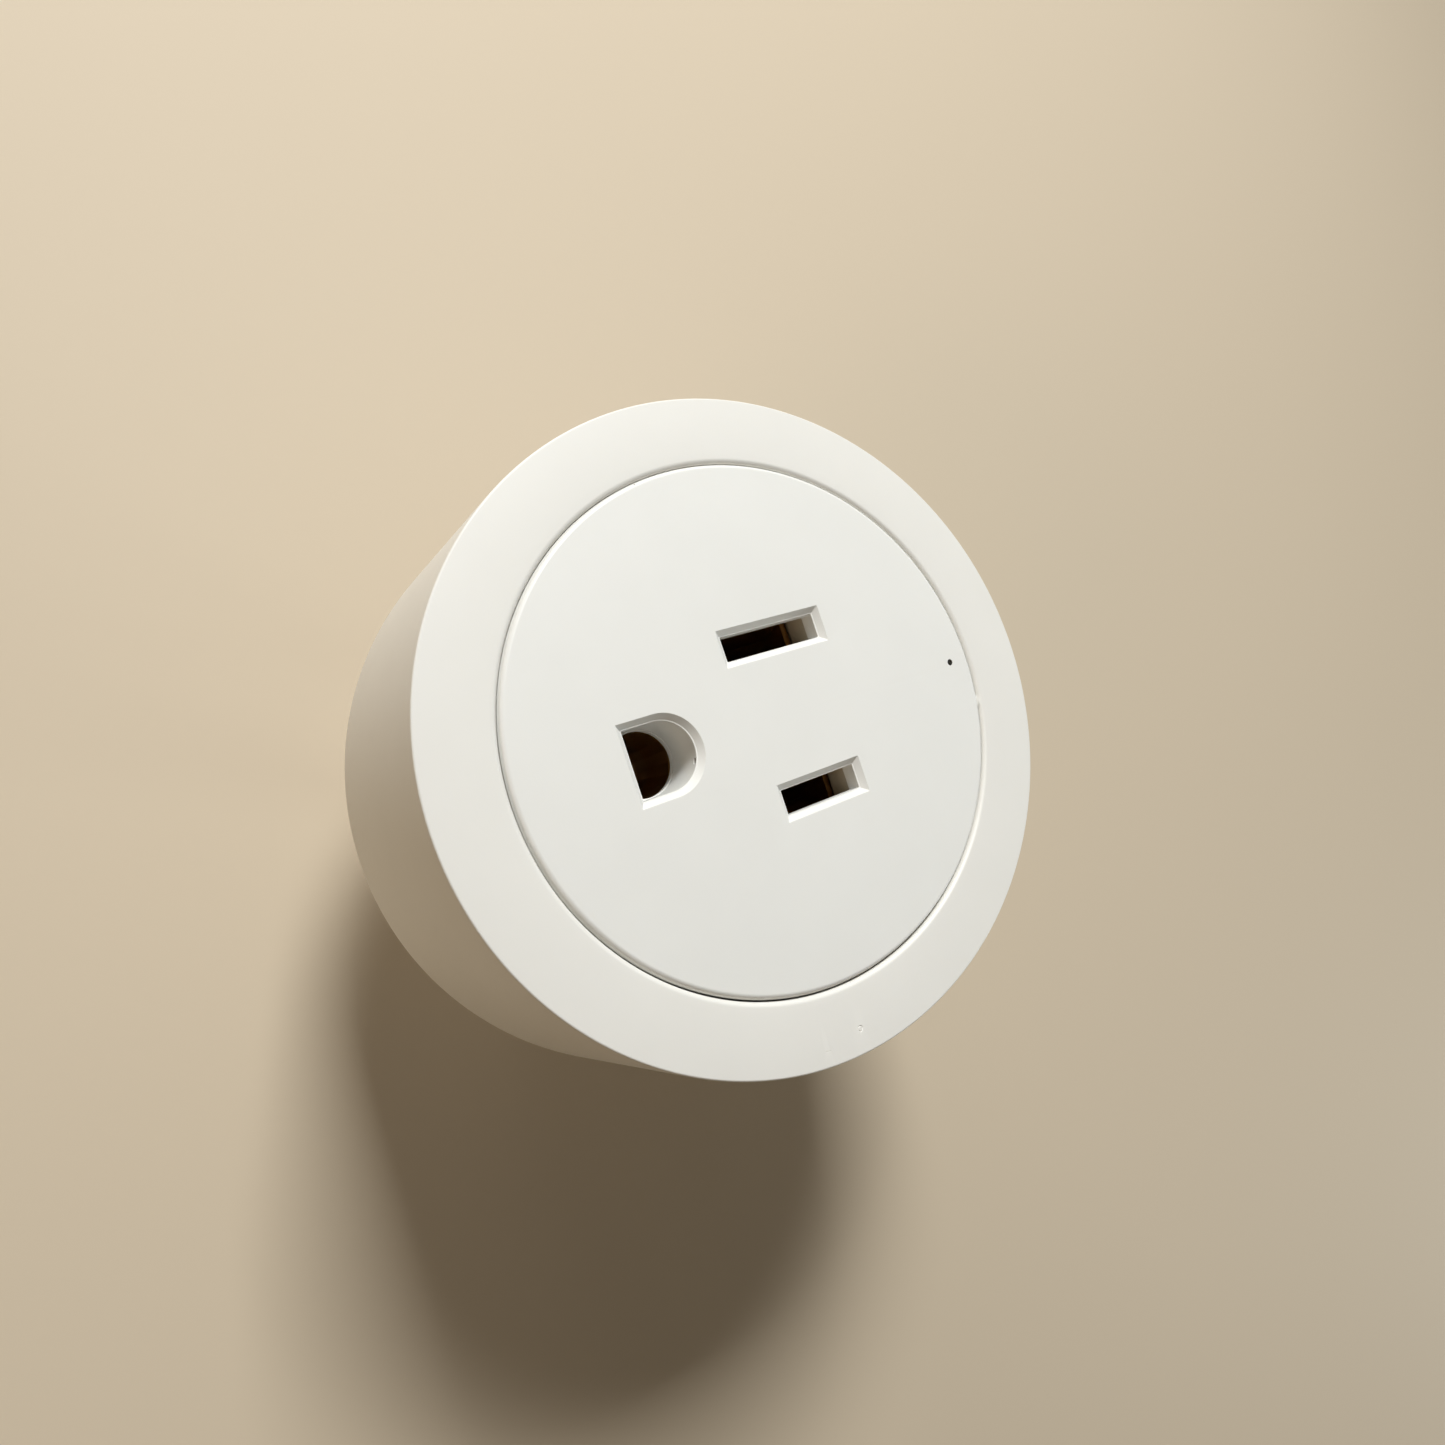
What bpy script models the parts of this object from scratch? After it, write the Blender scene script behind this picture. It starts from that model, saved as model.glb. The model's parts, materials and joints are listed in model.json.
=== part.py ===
"""A round smart plug with a grounded North American socket in its face.

The plug's axis is Z. The back face, which meets the wall outlet, is at Z = 0, the blades point down, and the
socket face is at the top. +Y is the socket's upper side: the two blade slots are on the +Y side of the ground
hole. Lengths are in metres.
"""

import math

import bmesh
import bpy
from mathutils import Euler, Vector

MM = 0.001
GAP = 0.3 * MM

# Housing
FACE_Z = 27.0 * MM
SHELL_RADIUS = 26.45 * MM
DRAFT = math.radians(0.7)
WALL = 1.9 * MM
RIM_FILLET = 0.15 * MM
REAR_RADIUS = 5.0 * MM
RIM_OPENING = 21.0 * MM
RIM_CHAMFER = 0.42 * MM
LEDGE_RADIUS = 20.4 * MM
LEDGE_TOP = 23.9 * MM
LEDGE_BOTTOM = 22.9 * MM
REAR_OPENING = 18.5 * MM
REAR_LIP = 1.8 * MM
TURNED_SEGMENTS = 48

# Socket face
BLADE_SPACING = 12.7 * MM
GROUND_OFFSET = 11.9 * MM
BLADE_Y = 2.4 * MM
GROUND_Y = BLADE_Y - GROUND_OFFSET
COVER_RADIUS = 20.85 * MM
COVER_CHAMFER = 0.5 * MM
COVER_UNDERSIDE = 25.0 * MM
COVER_RIM_UNDERSIDE = 24.2 * MM
OPENING_CHAMFER = 0.5 * MM
NEUTRAL_SLOT = (2.0 * MM, 8.7 * MM)
LINE_SLOT = (2.0 * MM, 7.0 * MM)
GROUND_HOLE_RADIUS = 2.65 * MM
GROUND_HOLE_FLAT = 2.47 * MM
GROUND_WELL_FLOOR = 22.4 * MM
GROUND_WELL_BOTTOM = 21.9 * MM
GROUND_WELL_WALL = 1.1 * MM
PIN_HOLE_RADIUS = 2.6 * MM
LED_Y = 18.8 * MM
PINHOLE_RADIUS = 0.27 * MM
LIGHT_PIPE_TOP = 25.0 * MM
LIGHT_RECESS_TOP = 26.3 * MM
HOOK_ANGLES = (40, 140, 220, 320)

# Prongs, to the standard grounded 15 A pattern
BLADE_WIDTH = 6.35 * MM
BLADE_THICKNESS = 1.5 * MM
BLADE_LENGTH = 17.5 * MM
BLADE_HOLE_RADIUS = 1.6 * MM
BLADE_HOLE_Z = -11.9 * MM
PIN_RADIUS = 2.4 * MM
PIN_LENGTH = 20.7 * MM

# Stack inside the housing, from the back
REAR_COVER_TOP = 3.3 * MM
BOARD_BOTTOM = 6.0 * MM
BOARD_TOP = 7.4 * MM
BOARD_RADIUS = 19.9 * MM
RETAINER_BOTTOM = BOARD_TOP + GAP
RETAINER_TOP = 9.0 * MM
CARRIER_BOTTOM = RETAINER_TOP + GAP
CARRIER_TOP = COVER_UNDERSIDE - GAP
CONTACT_BOTTOM = 9.6 * MM
CONTACT_TOP = 22.0 * MM
NEUTRAL_CONTACT_WIDTH = 9.0 * MM
LINE_CONTACT_WIDTH = 7.6 * MM
SCREW_PLACES = ((0.0, -16.6 * MM), (0.0, 11.4 * MM))
CARRIER_FRONT = -14.0 * MM
CARRIER_STEP = -3.4 * MM
CARRIER_BACK = 8.4 * MM
CARRIER_HALF_WIDTH = 9.6 * MM
CARRIER_HALF_NECK = 5.4 * MM

# Button and switch
BUTTON_Z = 14.5 * MM
BUTTON_SIZE = (9.4 * MM, 4.6 * MM)
BUTTON_FACE_RADIUS = 26.4 * MM
CONTROL_BOARD_Y = (15.1 * MM, 16.1 * MM)

# Relay
RELAY_X = (10.1 * MM, 17.1 * MM)
RELAY_HALF_LENGTH = 10.0 * MM
RELAY_BOTTOM = BOARD_TOP + GAP
RELAY_TOP = 23.0 * MM
RELAY_MID_X = (RELAY_X[0] + RELAY_X[1]) / 2
ARMATURE_HINGE = (2.7 * MM, 20.1 * MM)


# ---------------------------------------------------------------- materials and objects


def material(name, colour, roughness, metallic=0.0):
    made = bpy.data.materials.new(name)
    made.use_nodes = True
    shader = made.node_tree.nodes["Principled BSDF"]
    shader.inputs["Base Color"].default_value = (*colour, 1.0)
    shader.inputs["Roughness"].default_value = roughness
    shader.inputs["Metallic"].default_value = metallic
    made.diffuse_color = (*colour, 1.0)
    return made


def add_object(name, bm, look):
    """Turns a bmesh into a named object with outward faces, smooth on its round parts."""
    bmesh.ops.remove_doubles(bm, verts=bm.verts, dist=1e-7)
    bmesh.ops.recalc_face_normals(bm, faces=bm.faces)
    mesh = bpy.data.meshes.new(name)
    bm.to_mesh(mesh)
    bm.free()
    mesh.shade_smooth()
    mesh.set_sharp_from_angle(angle=math.radians(30))
    mesh.materials.append(look)
    made = bpy.data.objects.new(name, mesh)
    bpy.context.scene.collection.objects.link(made)
    return made


def hide_helper(helper):
    helper.hide_render = True
    helper.display_type = "WIRE"


def combine(target, helper, operation):
    hide_helper(helper)
    step = target.modifiers.new(helper.name, "BOOLEAN")
    step.operation = operation
    step.solver = "EXACT"
    step.object = helper


def cut(target, cutter):
    combine(target, cutter, "DIFFERENCE")


def unite(target, added):
    combine(target, added, "UNION")


# ---------------------------------------------------------------- outlines, as lists of (x, y)


def arc(radius, start, end, steps, centre=(0.0, 0.0)):
    """Points of an arc from the start to the end angle, in degrees."""
    points = []
    for i in range(steps + 1):
        angle = math.radians(start + (end - start) * i / steps)
        points.append((centre[0] + radius * math.cos(angle), centre[1] + radius * math.sin(angle)))
    return points


def circle(radius, steps, centre=(0.0, 0.0)):
    return arc(radius, 0, 360, steps, centre)[:-1]


def rectangle(width, height, centre=(0.0, 0.0)):
    x, y = centre
    w, h = width / 2, height / 2
    return [(x - w, y - h), (x + w, y - h), (x + w, y + h), (x - w, y + h)]


def stadium(width, height, steps, centre=(0.0, 0.0)):
    """A slot shape, longer along X, with round ends."""
    r = height / 2
    reach = width / 2 - r
    right = arc(r, -90, 90, steps, (centre[0] + reach, centre[1]))
    left = arc(r, 90, 270, steps, (centre[0] - reach, centre[1]))
    return right + left


def ground_outline(radius, flat, steps=12):
    """The ground hole: a half circle on the blade side and a flat on the other side."""
    top = arc(radius, 0, 180, steps, (0.0, GROUND_Y))
    return top + [(-radius, GROUND_Y - flat), (radius, GROUND_Y - flat)]


# ---------------------------------------------------------------- solids


def loft(name, rings, look):
    """A closed solid through rings of 3-D points, each with the same number of points."""
    bm = bmesh.new()
    rows = []
    for ring in rings:
        rows.append([bm.verts.new(point) for point in ring])
    count = len(rows[0])
    for low, high in zip(rows, rows[1:]):
        for i in range(count):
            j = (i + 1) % count
            bm.faces.new((low[i], low[j], high[j], high[i]))
    bm.faces.new(rows[0])
    bm.faces.new(rows[-1])
    return add_object(name, bm, look)


def at_height(outline, z):
    return [(x, y, z) for x, y in outline]


def prism(name, outline, bottom, top, look):
    return loft(name, [at_height(outline, bottom), at_height(outline, top)], look)


def sleeve(name, outer, inner, bottom, top, look):
    """A prism with a hole through it, from two outlines with the same number of points."""
    bm = bmesh.new()
    rows = []
    for outline, z in ((outer, bottom), (outer, top), (inner, top), (inner, bottom)):
        rows.append([bm.verts.new((x, y, z)) for x, y in outline])
    count = len(outer)
    for k in range(4):
        one, two = rows[k], rows[(k + 1) % 4]
        for i in range(count):
            j = (i + 1) % count
            bm.faces.new((one[i], one[j], two[j], two[i]))
    return add_object(name, bm, look)


def block(name, low, high, look):
    size = Vector(high) - Vector(low)
    middle = (Vector(high) + Vector(low)) / 2
    return prism(name, rectangle(size.x, size.y, (middle.x, middle.y)), low[2], high[2], look)


def turned(name, profile, look, segments=TURNED_SEGMENTS):
    """A solid of revolution round Z, from a closed profile of (radius, z)."""
    bm = bmesh.new()
    verts = [bm.verts.new((r, 0.0, z)) for r, z in profile]
    edges = []
    for i, vert in enumerate(verts):
        after = verts[(i + 1) % len(verts)]
        if vert.co.x > 0 or after.co.x > 0:
            edges.append(bm.edges.new((vert, after)))
    bmesh.ops.spin(
        bm,
        geom=verts + edges,
        axis=(0, 0, 1),
        cent=(0, 0, 0),
        steps=segments,
        angle=math.tau,
        use_merge=True,
    )
    return add_object(name, bm, look)


def disc(name, radius, bottom, top, look, segments=24, centre=(0.0, 0.0)):
    return prism(name, circle(radius, segments, centre), bottom, top, look)


def place(made, location=(0.0, 0.0, 0.0), rotation=(0.0, 0.0, 0.0)):
    made.location = location
    made.rotation_euler = Euler([math.radians(angle) for angle in rotation])
    return made


def set_origin(made, point):
    """Moves the object's origin onto its joint's axis, without moving the shape."""
    made.data.transform(made.matrix_basis)
    made.matrix_basis.identity()
    for vert in made.data.vertices:
        vert.co -= Vector(point)
    made.location = point
    return made


# ---------------------------------------------------------------- housing


def shell_radius_at(z):
    return SHELL_RADIUS - (FACE_Z - z) * math.tan(DRAFT)


def outer_shell(look):
    """A cup with the flat front rim, the tapering side wall and the rounded rear edge, open in the middle."""
    rim_arc = arc(RIM_FILLET, 90, 0, 2, (SHELL_RADIUS - RIM_FILLET, FACE_Z - RIM_FILLET))
    rear_centre = shell_radius_at(REAR_RADIUS) - REAR_RADIUS
    rear_arc = arc(REAR_RADIUS, 0, -90, 6, (rear_centre, REAR_RADIUS))
    inner_radius = REAR_RADIUS - WALL
    inner_arc = arc(inner_radius, -90, 0, 3, (rear_centre, REAR_LIP + inner_radius))
    inner_top = shell_radius_at(LEDGE_BOTTOM) - WALL
    profile = [(RIM_OPENING, FACE_Z - RIM_CHAMFER), (RIM_OPENING + RIM_CHAMFER, FACE_Z)]
    profile += rim_arc + rear_arc
    profile += [(REAR_OPENING + GAP, 0.0), (REAR_OPENING, GAP), (REAR_OPENING, REAR_LIP)]
    profile += inner_arc
    profile += [(inner_top, LEDGE_BOTTOM), (LEDGE_RADIUS, LEDGE_BOTTOM), (LEDGE_RADIUS, LEDGE_TOP)]
    profile += [(RIM_OPENING, LEDGE_TOP)]
    shell = turned("outer_shell", profile, look)
    hole = button_outline(0.35 * MM)
    cut(shell, along_y("button_hole_cutter", hole, 20 * MM, 30 * MM, look))
    return shell


def along_y(name, outline, start, end, look):
    """A prism along Y, from an outline in X and Z."""
    rings = [[(x, y, z) for x, z in outline] for y in (start, end)]
    return loft(name, rings, look)


def opening_cutter(name, inside, outside, bottom, look):
    """A straight hole that flares out to its chamfer just below the face."""
    rings = [
        at_height(inside, bottom),
        at_height(inside, FACE_Z - OPENING_CHAMFER),
        at_height(outside, FACE_Z),
        at_height(outside, FACE_Z + 1 * MM),
    ]
    return loft(name, rings, look)


def slot_cutter(name, x, size, look):
    grow = 2 * OPENING_CHAMFER
    inside = rectangle(size[0], size[1], (x, BLADE_Y))
    outside = rectangle(size[0] + grow, size[1] + grow, (x, BLADE_Y))
    return opening_cutter(name, inside, outside, COVER_UNDERSIDE - 1 * MM, look)


def snap_hook(name, angle, look):
    """A hook that hangs from the cover's edge and catches under the shell's ledge."""
    hook = [
        (19.2 * MM, COVER_RIM_UNDERSIDE + 0.3 * MM),
        (19.2 * MM, 21.4 * MM),
        (19.9 * MM, 21.4 * MM),
        (20.75 * MM, 22.3 * MM),
        (20.75 * MM, LEDGE_BOTTOM - GAP),
        (20.0 * MM, LEDGE_BOTTOM - GAP),
        (20.0 * MM, COVER_RIM_UNDERSIDE + 0.3 * MM),
    ]
    rings = [[(r, y, z) for r, z in hook] for y in (-2 * MM, 2 * MM)]
    return place(loft(name, rings, look), rotation=(0, 0, angle))


def front_cover(look):
    """The socket disc: flush with the rim inside a V-shaped seam, with its openings and snap hooks."""
    profile = [
        (0.0, FACE_Z),
        (0.0, COVER_UNDERSIDE),
        (18.6 * MM, COVER_UNDERSIDE),
        (18.6 * MM, COVER_RIM_UNDERSIDE),
        (COVER_RADIUS - 0.1 * MM, COVER_RIM_UNDERSIDE),
        (COVER_RADIUS, FACE_Z - COVER_CHAMFER),
        (COVER_RADIUS - COVER_CHAMFER, FACE_Z),
    ]
    cover = turned("front_cover", profile, look)
    outer = GROUND_HOLE_RADIUS + GROUND_WELL_WALL
    well = ground_outline(outer, GROUND_HOLE_FLAT + GROUND_WELL_WALL)
    unite(cover, prism("ground_well", well, GROUND_WELL_BOTTOM, COVER_UNDERSIDE + 0.5 * MM, look))
    for number, angle in enumerate(HOOK_ANGLES):
        unite(cover, snap_hook(f"snap_hook_{number + 1}", angle, look))
    cut(cover, slot_cutter("neutral_slot_cutter", -BLADE_SPACING / 2, NEUTRAL_SLOT, look))
    cut(cover, slot_cutter("line_slot_cutter", BLADE_SPACING / 2, LINE_SLOT, look))
    inside = ground_outline(GROUND_HOLE_RADIUS, GROUND_HOLE_FLAT)
    grow = OPENING_CHAMFER
    outside = ground_outline(GROUND_HOLE_RADIUS + grow, GROUND_HOLE_FLAT + grow)
    cut(cover, opening_cutter("ground_hole_cutter", inside, outside, GROUND_WELL_FLOOR, look))
    spot = (0.0, GROUND_Y)
    top = GROUND_WELL_FLOOR + 0.1 * MM
    cut(cover, disc("pin_hole_cutter", PIN_HOLE_RADIUS, 21 * MM, top, look, 32, spot))
    led = (0.0, LED_Y)
    cut(cover, disc("pinhole_cutter", PINHOLE_RADIUS, LIGHT_RECESS_TOP - GAP, FACE_Z + 1 * MM, look, 12, led))
    cut(cover, disc("light_recess_cutter", 1.1 * MM, 23 * MM, LIGHT_RECESS_TOP, look, 16, led))
    return cover


def rear_cover(look):
    """The plate that carries the prongs. Its flange rests inside the shell's rear lip."""
    lip = REAR_LIP + GAP
    plate = REAR_OPENING - 0.2 * MM
    profile = [
        (0.0, REAR_COVER_TOP),
        (0.0, 0.0),
        (plate - GAP, 0.0),
        (plate, GAP),
        (plate, lip),
        (20.2 * MM, lip),
        (20.2 * MM, REAR_COVER_TOP),
    ]
    cover = turned("rear_cover", profile, look)
    for number, spot in enumerate(SCREW_PLACES):
        boss = disc(f"rear_boss_{number + 1}", 2.4 * MM, 2.5 * MM, BOARD_BOTTOM - GAP, look, 20, spot)
        unite(cover, boss)
        hole = disc(f"boss_hole_{number + 1}", 1.25 * MM, 1.6 * MM, 8 * MM, look, 16, spot)
        cut(cover, hole)
    for side, x in (("neutral", -BLADE_SPACING / 2), ("line", BLADE_SPACING / 2)):
        outline = rectangle(BLADE_THICKNESS + 0.3 * MM, BLADE_WIDTH + 0.3 * MM, (x, BLADE_Y))
        cut(cover, prism(f"{side}_blade_cutter", outline, -1 * MM, 5 * MM, look))
    spot = (0.0, GROUND_Y)
    cut(cover, disc("ground_pin_cutter", PIN_RADIUS + 0.15 * MM, -1 * MM, 5 * MM, look, 32, spot))
    return cover


# ---------------------------------------------------------------- button, switch and light


def button_outline(grow=0.0):
    return stadium(BUTTON_SIZE[0] + 2 * grow, BUTTON_SIZE[1] + 2 * grow, 8, (0.0, BUTTON_Z))


def button_cap(look):
    """The side button: a crown that follows the shell, a flange behind the wall and a stem."""
    crown = along_y("button_cap", button_outline(), 22.6 * MM, 28 * MM, look)
    flange = stadium(11.4 * MM, 6.6 * MM, 8, (0.0, BUTTON_Z))
    unite(crown, along_y("button_flange", flange, 22.4 * MM, 23.4 * MM, look))
    unite(crown, along_y("button_stem", circle(1.5 * MM, 16, (0.0, BUTTON_Z)), 20.6 * MM, 22.7 * MM, look))
    outer = circle(32 * MM, 96)
    inner = circle(BUTTON_FACE_RADIUS, 96)
    cut(crown, sleeve("button_face_cutter", outer, inner, 5 * MM, 24 * MM, look))
    return set_origin(crown, (0.0, 23 * MM, BUTTON_Z))


def control_board(look):
    low = (-9.4 * MM, CONTROL_BOARD_Y[0], 7.8 * MM)
    high = (9.4 * MM, CONTROL_BOARD_Y[1], 23.6 * MM)
    return block("control_board", low, high, look)


def switch_body(look):
    """The push switch behind the button, on the control board's outer face."""
    front = 19.6 * MM
    low = (-3 * MM, CONTROL_BOARD_Y[1] + GAP, BUTTON_Z - 3 * MM)
    high = (3 * MM, front, BUTTON_Z + 3 * MM)
    body = block("switch_body", low, high, look)
    cut(body, along_y("plunger_hole", circle(1.9 * MM, 20, (0.0, BUTTON_Z)), 18.2 * MM, front + 1 * MM, look))
    return body


def switch_plunger(look):
    plunger = along_y("switch_plunger", circle(1.6 * MM, 20, (0.0, BUTTON_Z)), 18.9 * MM, 20.3 * MM, look)
    return set_origin(plunger, (0.0, 19.6 * MM, BUTTON_Z))


def light_pipe(look):
    profile = [
        (0.0, LIGHT_PIPE_TOP),
        (0.0, 22.4 * MM),
        (1.3 * MM, 22.4 * MM),
        (1.3 * MM, 23.2 * MM),
        (0.85 * MM, 23.4 * MM),
        (0.85 * MM, LIGHT_PIPE_TOP),
    ]
    return place(turned("light_pipe", profile, look, 20), (0.0, LED_Y, 0.0))


def status_led(look):
    """The indicator: a dome that looks up at the light pipe, on a foot on the control board's outer face."""
    low = (-1.5 * MM, CONTROL_BOARD_Y[1] + GAP, 18.1 * MM)
    made = block("status_led", low, (1.5 * MM, 20.0 * MM, 19.4 * MM), look)
    dome = arc(1.1 * MM, 90, 0, 4, (0.0, 20.8 * MM))
    profile = dome + [(1.1 * MM, 19 * MM), (0.0, 19 * MM)]
    unite(made, place(turned("led_dome", profile, look, 16), (0.0, LED_Y, 0.0)))
    return made


def wifi_shield(look):
    """The metal can over the radio, open towards its board."""
    front = CONTROL_BOARD_Y[0] - GAP
    shield = block("wifi_shield", (-5.5 * MM, 12.9 * MM, 12.6 * MM), (5.5 * MM, front, 21.6 * MM), look)
    room = block("shield_room", (-5.2 * MM, 13.2 * MM, 12.9 * MM), (5.2 * MM, 16 * MM, 21.3 * MM), look)
    cut(shield, room)
    return shield


def board_header(look):
    """The pin header that joins the control board to the main board."""
    back = CONTROL_BOARD_Y[0] - GAP
    return block("board_header", (-7.6 * MM, 12.8 * MM, BOARD_TOP + GAP), (-2.8 * MM, back, 10.2 * MM), look)


def wifi_chip(look):
    front = CONTROL_BOARD_Y[0] - GAP
    return block("wifi_chip", (-2.5 * MM, 13.8 * MM, 14.6 * MM), (2.5 * MM, front, 19.6 * MM), look)


# ---------------------------------------------------------------- prongs and contacts


def blade(name, x, look):
    """A flat blade with a tapered tip and a hole, a shoulder above the rear cover and a solder tail."""
    half = BLADE_WIDTH / 2
    tip = -BLADE_LENGTH
    outline = [
        (-half + 1.2 * MM, tip),
        (half - 1.2 * MM, tip),
        (half, tip + 2 * MM),
        (half, 3.6 * MM),
        (4.4 * MM, 3.6 * MM),
        (4.4 * MM, 5.4 * MM),
        (1.8 * MM, 5.4 * MM),
        (1.8 * MM, 8.4 * MM),
        (-1.8 * MM, 8.4 * MM),
        (-1.8 * MM, 5.4 * MM),
        (-4.4 * MM, 5.4 * MM),
        (-4.4 * MM, 3.6 * MM),
        (-half, 3.6 * MM),
        (-half, tip + 2 * MM),
    ]
    rings = []
    t = BLADE_THICKNESS / 2
    for offset in (-t, t):
        rings.append([(offset, y, z) for y, z in outline])
    made = loft(name, rings, look)
    ring = circle(BLADE_HOLE_RADIUS, 20, (0.0, BLADE_HOLE_Z))
    drill = loft(f"{name}_hole_cutter", [[(s, y, z) for y, z in ring] for s in (-2 * t, 2 * t)], look)
    place(made, (x, BLADE_Y, 0.0))
    place(drill, (x, BLADE_Y, 0.0))
    cut(made, drill)
    return made


def ground_pin(look):
    """The round pin, with a domed tip, a collar above the rear cover and a stub for the strap."""
    dome = arc(PIN_RADIUS, -90, 0, 6, (0.0, PIN_RADIUS - PIN_LENGTH))
    profile = dome + [
        (PIN_RADIUS, 3.6 * MM),
        (3.8 * MM, 3.6 * MM),
        (3.8 * MM, 4.8 * MM),
        (1.4 * MM, 4.8 * MM),
        (1.4 * MM, 8.2 * MM),
        (0.0, 8.2 * MM),
    ]
    return place(turned("ground_pin", profile, look, 24), (0.0, GROUND_Y, 0.0))


def contact_section(gap, width, z):
    """A U in plan view: two leaves, a gap apart, joined by a web on the +Y side."""
    thick = 0.5 * MM
    inner = gap / 2
    outer = inner + thick
    front = -width / 2
    back = width / 2
    outline = [
        (-outer, front),
        (-inner, front),
        (-inner, back - thick),
        (inner, back - thick),
        (inner, front),
        (outer, front),
        (outer, back),
        (-outer, back),
    ]
    return at_height(outline, z)


def blade_contact(name, x, width, look):
    """A brass contact whose leaves pinch a blade, with a flared mouth and a tail down to the board."""
    shape = (
        (2.2 * MM, CONTACT_BOTTOM),
        (2.2 * MM, 13 * MM),
        (1.25 * MM, 17.6 * MM),
        (1.25 * MM, 18.6 * MM),
        (2.9 * MM, CONTACT_TOP),
    )
    rings = [contact_section(gap, width, z) for gap, z in shape]
    made = loft(name, rings, look)
    back = width / 2
    low = (-1.2 * MM, back - 0.5 * MM, BOARD_BOTTOM - GAP)
    high = (1.2 * MM, back, CONTACT_BOTTOM + 1 * MM)
    tail = block(f"{name}_tail", low, high, look)
    place(made, (x, BLADE_Y, 0.0))
    place(tail, (x, BLADE_Y, 0.0))
    unite(made, tail)
    return made


def c_section(inner, outer, z):
    """An open ring with its slit on the -Y side."""
    outside = arc(outer, -60, 240, 15, (0.0, 0.0))
    inside = arc(inner, 240, -60, 15, (0.0, 0.0))
    return at_height(outside + inside, z)


def ground_contact(look):
    """A springy brass sleeve that grips the round pin of the appliance's plug."""
    shape = ((2.5, 12.4), (2.25, 16.5), (2.25, 18.5), (2.75, 21.4))
    rings = [c_section(r * MM, (r + 0.5) * MM, z * MM) for r, z in shape]
    made = loft("ground_contact", rings, look)
    return place(made, (0.0, GROUND_Y, 0.0))


def ground_strap(look):
    """The strip from the ground pin's stub up to the ground contact."""
    foot = circle(2.6 * MM, 24)
    hole = circle(1.7 * MM, 24)
    made = sleeve("ground_strap", foot, hole, 5.1 * MM, 5.7 * MM, look)
    arm = block("ground_strap_arm", (-1.6 * MM, 2.2 * MM, 5.1 * MM), (1.6 * MM, 4.0 * MM, 5.7 * MM), look)
    riser = block("ground_strap_riser", (-1.6 * MM, 3.4 * MM, 5.1 * MM), (1.6 * MM, 4.0 * MM, 19 * MM), look)
    for item in (made, arm, riser):
        place(item, (0.0, GROUND_Y, 0.0))
    unite(made, arm)
    unite(made, riser)
    return made


def carrier_outline():
    """A T in plan view: wide behind the blade slots, narrow round the ground hole."""
    wide, neck = CARRIER_HALF_WIDTH, CARRIER_HALF_NECK
    return [
        (-neck, CARRIER_FRONT),
        (neck, CARRIER_FRONT),
        (neck, CARRIER_STEP),
        (wide, CARRIER_STEP),
        (wide, CARRIER_BACK),
        (-wide, CARRIER_BACK),
        (-wide, CARRIER_STEP),
        (-neck, CARRIER_STEP),
    ]


def contact_carrier(look):
    """The insulating block that holds the three contacts, open at the bottom."""
    made = prism("contact_carrier", carrier_outline(), CARRIER_BOTTOM, CARRIER_TOP, look)
    sides = (("neutral", -BLADE_SPACING / 2, NEUTRAL_SLOT), ("line", BLADE_SPACING / 2, LINE_SLOT))
    for side, x, slot in sides:
        mouth = rectangle(slot[0] + 0.5 * MM, slot[1] + 0.4 * MM, (x, BLADE_Y))
        cut(made, prism(f"{side}_mouth_cutter", mouth, 21 * MM, 26 * MM, look))
        pocket = rectangle(4.9 * MM, 9.6 * MM, (x, BLADE_Y))
        cut(made, prism(f"{side}_pocket_cutter", pocket, 8 * MM, CONTACT_TOP + GAP, look))
    spot = (0.0, GROUND_Y)
    well = GROUND_HOLE_RADIUS + GROUND_WELL_WALL + GAP
    outline = ground_outline(well, GROUND_HOLE_FLAT + GROUND_WELL_WALL + GAP)
    cut(made, prism("well_clearance_cutter", outline, GROUND_WELL_BOTTOM - GAP, 26 * MM, look))
    cut(made, disc("ground_pocket_cutter", 3.7 * MM, 8 * MM, 22 * MM, look, 32, spot))
    riser = rectangle(4 * MM, 3 * MM, (0.0, GROUND_Y + 3.3 * MM))
    cut(made, prism("riser_pocket_cutter", riser, 8 * MM, 19.4 * MM, look))
    return made


def cut_contact_holes(plate, bottom, top, look):
    """Holes for the blades' tails, the contacts' tails, the ground pin's stub and the ground strap."""
    half = BLADE_SPACING / 2
    sides = (("neutral", -half, NEUTRAL_CONTACT_WIDTH), ("line", half, LINE_CONTACT_WIDTH))
    for side, x, width in sides:
        tail = rectangle(2.1 * MM, 4.2 * MM, (x, BLADE_Y))
        cut(plate, prism(f"{plate.name}_{side}_blade_hole", tail, bottom, top, look))
        leg = rectangle(3 * MM, 1.1 * MM, (x, BLADE_Y + width / 2 - 0.25 * MM))
        cut(plate, prism(f"{plate.name}_{side}_tail_hole", leg, bottom, top, look))
    ground = rectangle(4.2 * MM, 6.6 * MM, (0.0, GROUND_Y + 1.5 * MM))
    cut(plate, prism(f"{plate.name}_ground_hole", ground, bottom, top, look))


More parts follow.
